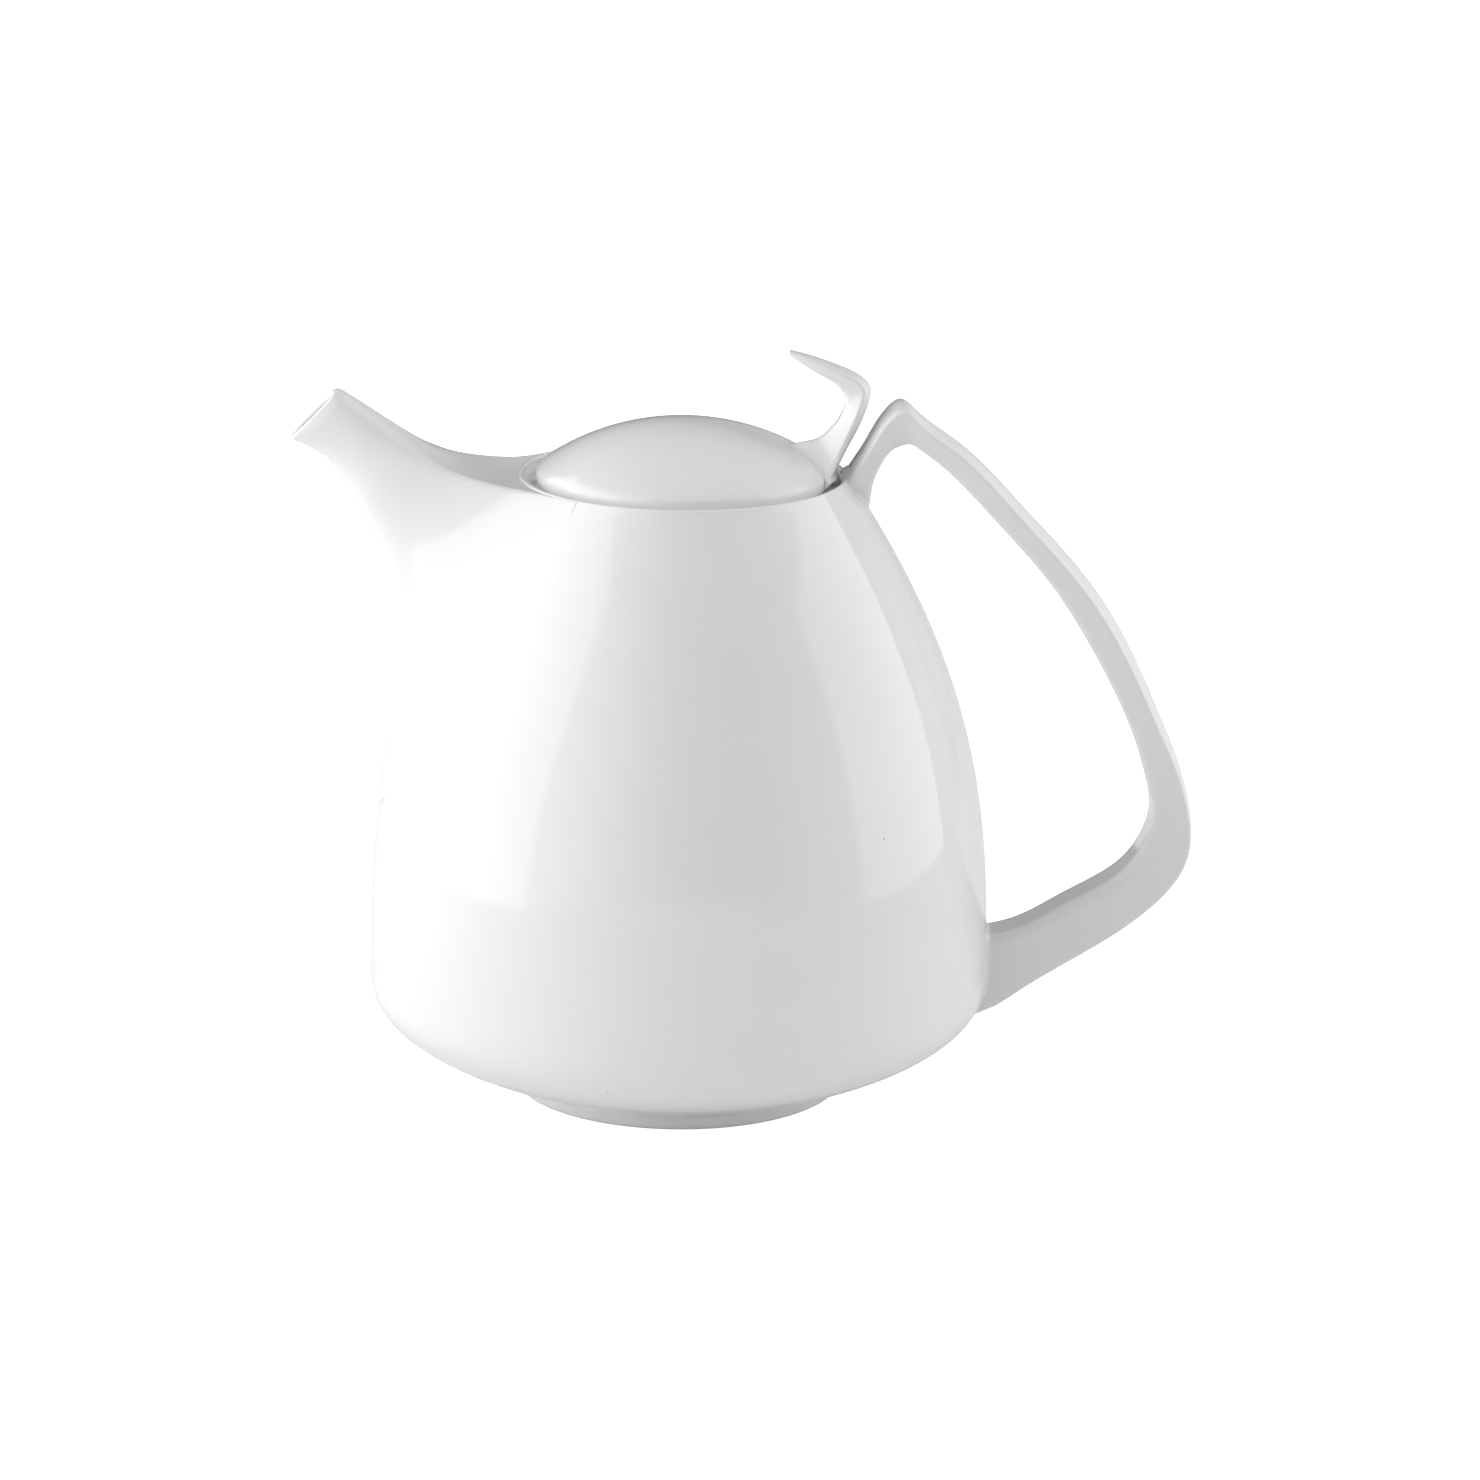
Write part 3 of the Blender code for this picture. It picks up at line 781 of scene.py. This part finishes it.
def top_fillet(point):
    return RIM_FILLET if point[2] > RIM_FILLET_Z else HANDLE_FILLET


def make_handle(glaze):
    """The folded strap, with a fillet at each of its two roots."""
    loops = [strap_loop(row, *HANDLE_ROUNDING) for row in even_run(HANDLE, HANDLE_STEPS)]
    middle = HANDLE_STEPS // 2
    top_root = fillet_root(loops[:middle], body_height, body_normal, top_fillet)
    low_root = fillet_root(loops[: middle - 1 : -1], body_height, body_normal, lambda p: HANDLE_LOW_FILLET)
    bm = bmesh.new()
    skin(bm, top_root + low_root[::-1], True, True)
    return add_object("handle_visual", bm, [glaze])


# ---------------------------------------------------------------- lid and foot


def dome_outline(grow, steps, last_radius):
    """Points (radius, z) from the top of the dome down to a radius, on the dome grown by a distance."""
    sphere, centre = lid_sphere()
    last = math.asin(last_radius / sphere)
    angles = [last * k / steps for k in range(steps + 1)]
    return [((sphere + grow) * math.sin(a), centre + (sphere + grow) * math.cos(a)) for a in angles]


def make_lid(glaze):
    outside = dome_outline(0.0, 44, LID_RADIUS - 1.4)
    inside = dome_outline(-LID_WALL, 24, 28.6)[::-1]
    return add_object("lid_visual", turned(outside + curve_through(LID_EDGE, 36) + inside), [glaze])


def make_flange(glaze):
    return add_object("lid_flange_visual", turned(curve_through(FLANGE, 40)), [glaze])


def make_grip(glaze):
    loops = [strap_loop(row, *GRIP_ROUNDING) for row in even_run(GRIP, GRIP_STEPS)]
    loops = fillet_root(loops, lid_height, lid_normal, lambda p: GRIP_FILLET)
    bm = bmesh.new()
    skin(bm, loops, True, True)
    return add_object("lid_grip_visual", bm, [glaze])


def make_foot(finish):
    outline = [(p[0], max(p[1], 0.0)) for p in curve_through(FOOT, 48)]
    return add_object("foot_visual", turned(outline), [finish])


# ---------------------------------------------------------------- studio


def area_light(name, place_at, aim, size, radiance):
    light = bpy.data.lights.new(name, "AREA")
    light.shape = "RECTANGLE"
    light.size, light.size_y = size
    light.energy = radiance * math.pi * size[0] * size[1]
    made = bpy.data.objects.new(name, light)
    made.location = place_at
    made.rotation_euler = (Vector(aim) - Vector(place_at)).to_track_quat("-Z", "Y").to_euler()
    bpy.context.collection.objects.link(made)


def light_world(world):
    """Soft light from all round, stronger from some sides. The camera itself sees white paper."""
    tree = world.node_tree
    link = tree.links.new
    lit = tree.nodes["Background"]
    way = tree.nodes.new("ShaderNodeTexCoord")
    total = None
    for towards, start, level in SKY:
        facing = tree.nodes.new("ShaderNodeVectorMath")
        facing.operation = "DOT_PRODUCT"
        link(way.outputs["Generated"], facing.inputs[0])
        facing.inputs[1].default_value = Vector(towards).normalized()
        lobe = tree.nodes.new("ShaderNodeMapRange")
        lobe.interpolation_type = "SMOOTHSTEP"
        lobe.inputs["From Min"].default_value = start
        lobe.inputs["To Max"].default_value = level
        link(facing.outputs["Value"], lobe.inputs["Value"])
        if total is None:
            total = lobe.outputs["Result"]
            continue
        add = tree.nodes.new("ShaderNodeMath")
        link(total, add.inputs[0])
        link(lobe.outputs["Result"], add.inputs[1])
        total = add.outputs[0]
    link(total, lit.inputs["Strength"])
    lit.inputs["Color"].default_value = (1.0, 1.0, 1.0, 1.0)
    paper = tree.nodes.new("ShaderNodeBackground")
    paper.inputs["Color"].default_value = (1.0, 1.0, 1.0, 1.0)
    paper.inputs["Strength"].default_value = PAPER_LEVEL
    ray = tree.nodes.new("ShaderNodeLightPath")
    choose = tree.nodes.new("ShaderNodeMixShader")
    link(ray.outputs["Is Camera Ray"], choose.inputs["Fac"])
    link(lit.outputs[0], choose.inputs[1])
    link(paper.outputs[0], choose.inputs[2])
    link(choose.outputs[0], tree.nodes["World Output"].inputs["Surface"])


def make_floor():
    """A plain white sweep. It looks overexposed, as on a light table, but lights the pot like grey paper."""
    bm = bmesh.new()
    bmesh.ops.create_grid(bm, x_segments=1, y_segments=1, size=0.5)
    bmesh.ops.scale(bm, vec=(FLOOR_WIDTH, FLOOR_DEPTH, 1.0), verts=bm.verts)
    finish = bpy.data.materials.new("floor")
    finish.use_nodes = True
    tree = finish.node_tree
    shader = tree.nodes["Principled BSDF"]
    shader.inputs["Base Color"].default_value = (FLOOR_ALBEDO, FLOOR_ALBEDO, FLOOR_ALBEDO, 1.0)
    shader.inputs["Roughness"].default_value = 0.9
    shader.inputs["Specular IOR Level"].default_value = 0.0
    shader.inputs["Emission Color"].default_value = (1.0, 1.0, 1.0, 1.0)
    ray = tree.nodes.new("ShaderNodeLightPath")
    glow = tree.nodes.new("ShaderNodeMath")
    glow.operation = "MULTIPLY_ADD"
    glow.inputs[1].default_value = FLOOR_GLOW
    glow.inputs[2].default_value = FLOOR_LIGHT
    tree.links.new(ray.outputs["Is Camera Ray"], glow.inputs[0])
    tree.links.new(glow.outputs[0], shader.inputs["Emission Strength"])
    floor = add_object("floor", bm, [finish])
    floor.location = (0.0, 0.0, -0.0002)


def make_studio():
    """World, floor, softboxes and a plain view transform."""
    world = bpy.data.worlds.new("studio")
    bpy.context.scene.world = world
    world.use_nodes = True
    light_world(world)
    make_floor()
    middle = (AXIS_X * MM, 0.0, LIGHTS_AIM_Z)
    for name, place_at, size, radiance in SOFTBOXES:
        area_light(name, place_at, middle, size, radiance)
    bpy.context.scene.view_settings.view_transform = "Standard"


def make_camera():
    """The camera, turned about its target by azimuth and elevation and about its own axis by the roll."""
    azimuth = math.radians(CAMERA_AZIMUTH)
    elevation = math.radians(CAMERA_ELEVATION)
    roll = math.radians(CAMERA_ROLL)
    level = math.cos(elevation)
    back = Vector((math.sin(azimuth) * level, -math.cos(azimuth) * level, math.sin(elevation)))
    right = Vector((math.cos(azimuth), math.sin(azimuth), 0.0))
    up = back.cross(right)
    camera_x = right * math.cos(roll) - up * math.sin(roll)
    camera_y = right * math.sin(roll) + up * math.cos(roll)
    data = bpy.data.cameras.new("camera")
    data.sensor_width = CAMERA_SENSOR
    data.lens = CAMERA_LENS
    made = bpy.data.objects.new("camera", data)
    turn = Matrix((camera_x, camera_y, back)).transposed().to_4x4()
    made.matrix_world = Matrix.Translation(Vector(CAMERA_TARGET) + back * CAMERA_DISTANCE) @ turn
    bpy.context.collection.objects.link(made)
    bpy.context.scene.camera = made


# ---------------------------------------------------------------- assembly


def stand_for(piece, cad_node, body):
    """Let a piece take the place of a CAD node on one of the moving bodies."""
    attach(piece, body)
    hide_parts(cad_node)


make_camera()
make_studio()
stand_for(make_body(glaze_material("body_porcelain")), "body_shell", "pot")
stand_for(make_foot(glaze_material("foot_porcelain", foot=True)), "foot_ring", "pot")
stand_for(make_spout(glaze_material("spout_porcelain")), "spout", "pot")
stand_for(make_handle(glaze_material("handle_porcelain")), "handle", "pot")
stand_for(make_lid(glaze_material("lid_porcelain")), "lid_dome", "lid")
stand_for(make_flange(glaze_material("flange_porcelain")), "lid_flange", "lid")
stand_for(make_grip(glaze_material("grip_porcelain")), "lid_grip", "lid")
